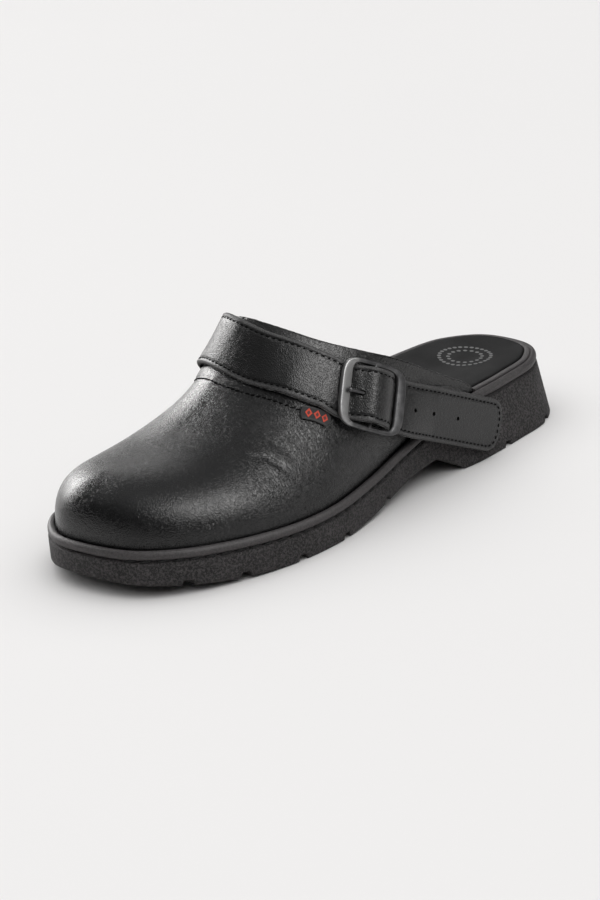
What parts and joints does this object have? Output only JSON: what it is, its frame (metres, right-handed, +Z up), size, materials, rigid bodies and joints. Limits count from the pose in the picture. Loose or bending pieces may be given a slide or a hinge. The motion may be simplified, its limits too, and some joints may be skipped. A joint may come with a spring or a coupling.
{
  "type": "leather work clog",
  "caption": "Closed-toe leather work clog with a moulded lug sole, padded footbed and a buckled strap swung forward over the instep",
  "frame": {"origin": "on the floor under the middle of the shoe's outline", "axes": "+Z up from the floor, toe towards -Y, heel towards +Y, outer (lateral) side of the left foot towards +X"},
  "size_m": [0.1078, 0.2926, 0.0929],
  "materials": {
    "sole_rubber": "moulded, grained, matte",
    "insole_fabric": "fine matte cover",
    "black_leather": "smooth grain, soft gloss",
    "strap_leather": "smooth grain, stitched edges",
    "buckle_steel": "dark satin plating",
    "label_fabric": "woven tag"
  },
  "bodies": {
    "root": {"sole": "sole_rubber", "insole": "insole_fabric", "upper": "black_leather", "strap": "strap_leather", "buckle_frame": "buckle_steel", "buckle_prong": "buckle_steel", "buckle_chape": "strap_leather", "rivet_lateral": "buckle_steel", "rivet_medial": "buckle_steel", "label": "label_fabric"}
  },
  "joints": []
}
